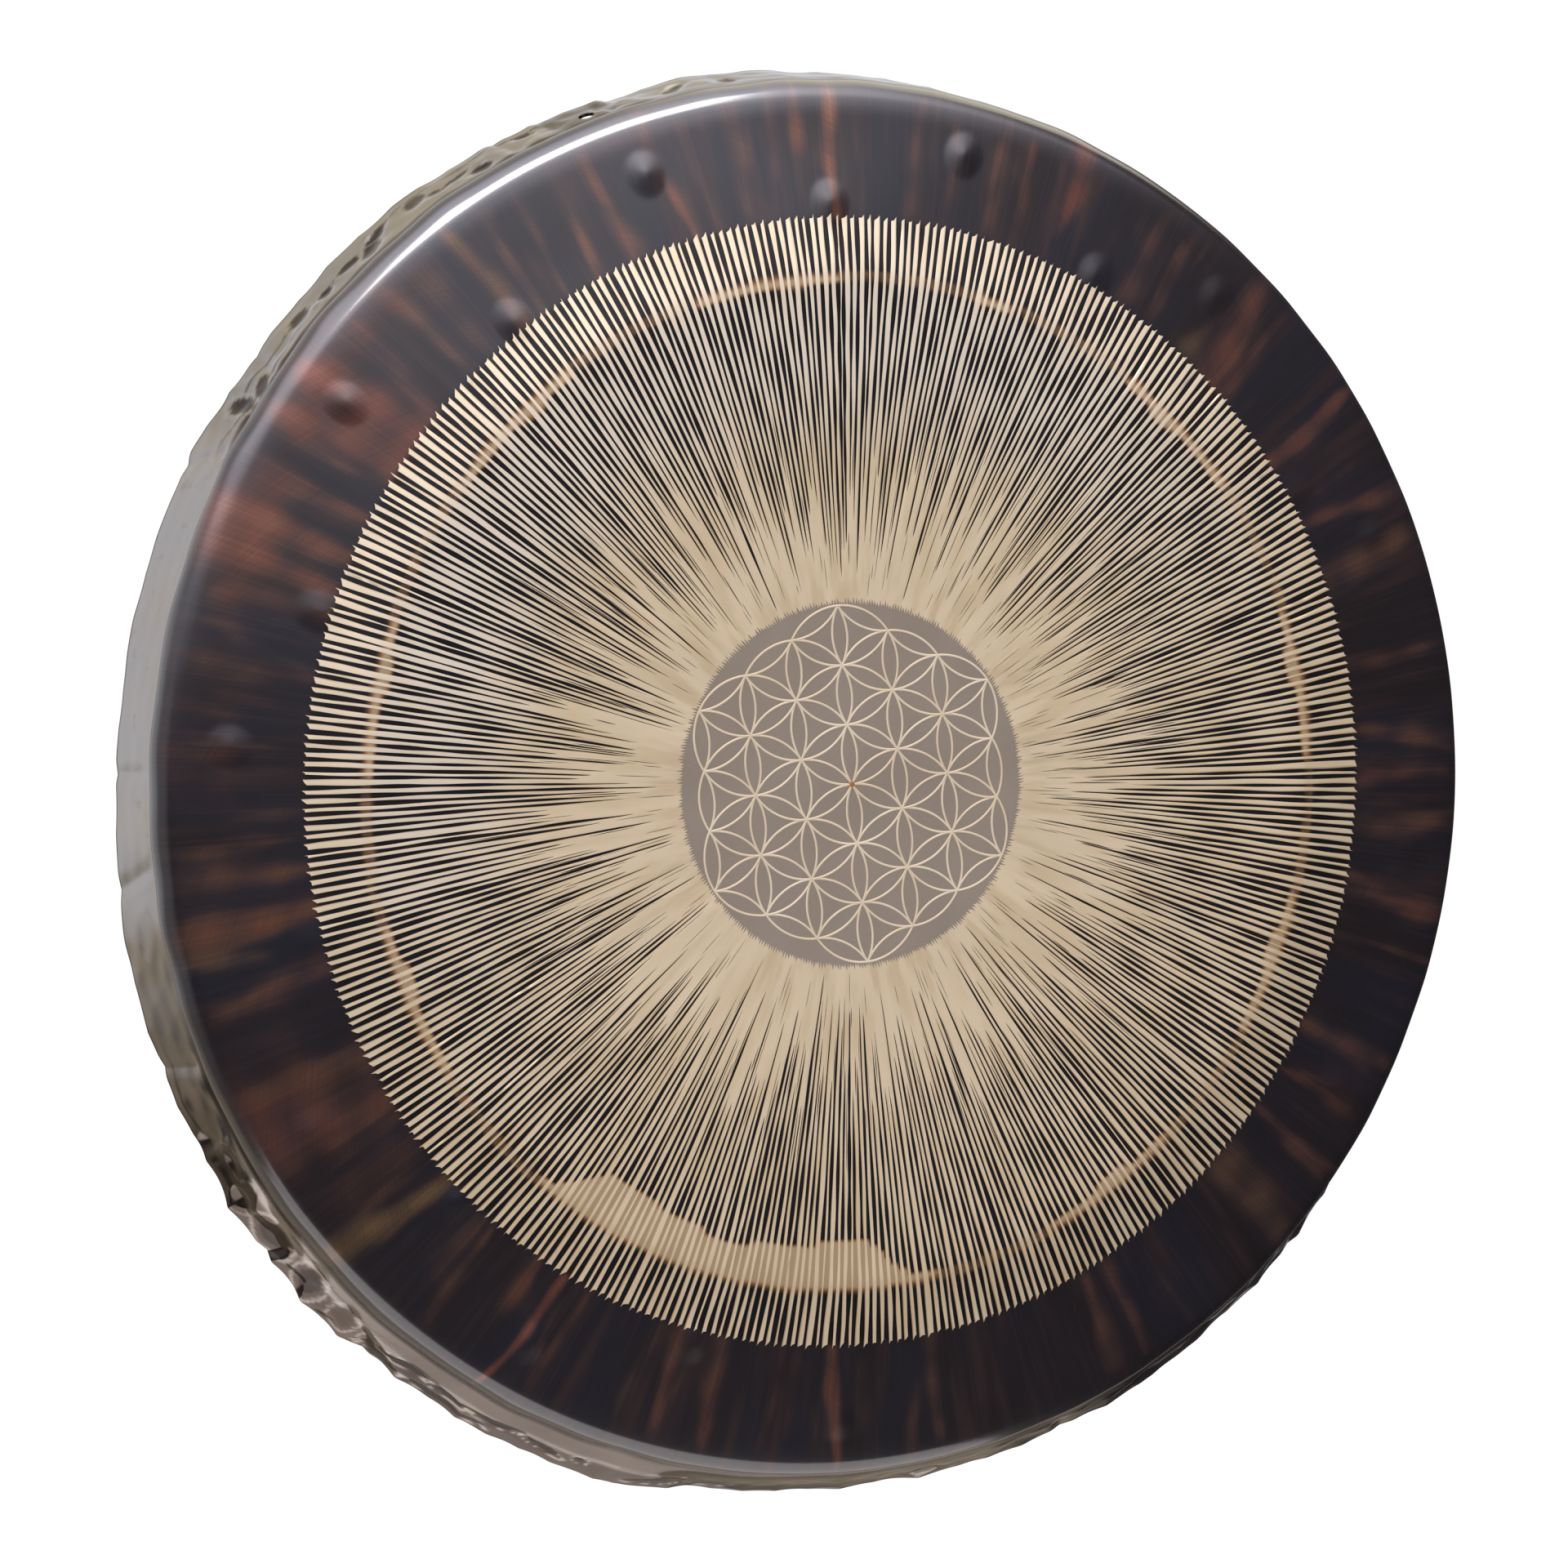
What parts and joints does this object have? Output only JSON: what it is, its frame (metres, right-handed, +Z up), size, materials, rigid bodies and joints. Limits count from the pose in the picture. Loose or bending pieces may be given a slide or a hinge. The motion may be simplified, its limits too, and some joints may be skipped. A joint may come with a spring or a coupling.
{
  "type": "tam tam gong",
  "caption": "Large round hanging gong of thin bronze: dished face with scraped rays and an engraved centre, rounded shoulder, hammered flared rim.",
  "frame": {"origin": "the middle of the whole gong's box", "axes": "face looks towards -Y, the open hollow back is towards +Y, +Z is up as the gong hangs from its two holes, +X is to the right seen from the front"},
  "size_m": [0.9139, 0.0602, 0.914],
  "materials": {
    "grey_lacquer": "matt grey coat with engraved bare lines",
    "scraped_bronze": "fine matt scraping, radial",
    "dark_patina": "glossy lacquer over near-black patina with copper streaks",
    "hammered_bronze": "glossy hammered bronze"
  },
  "bodies": {
    "root": {"centre_medallion": "grey_lacquer", "ray_band": "scraped_bronze", "patina_ring": "dark_patina", "shoulder": "dark_patina", "rim_flange": "hammered_bronze"}
  },
  "joints": []
}
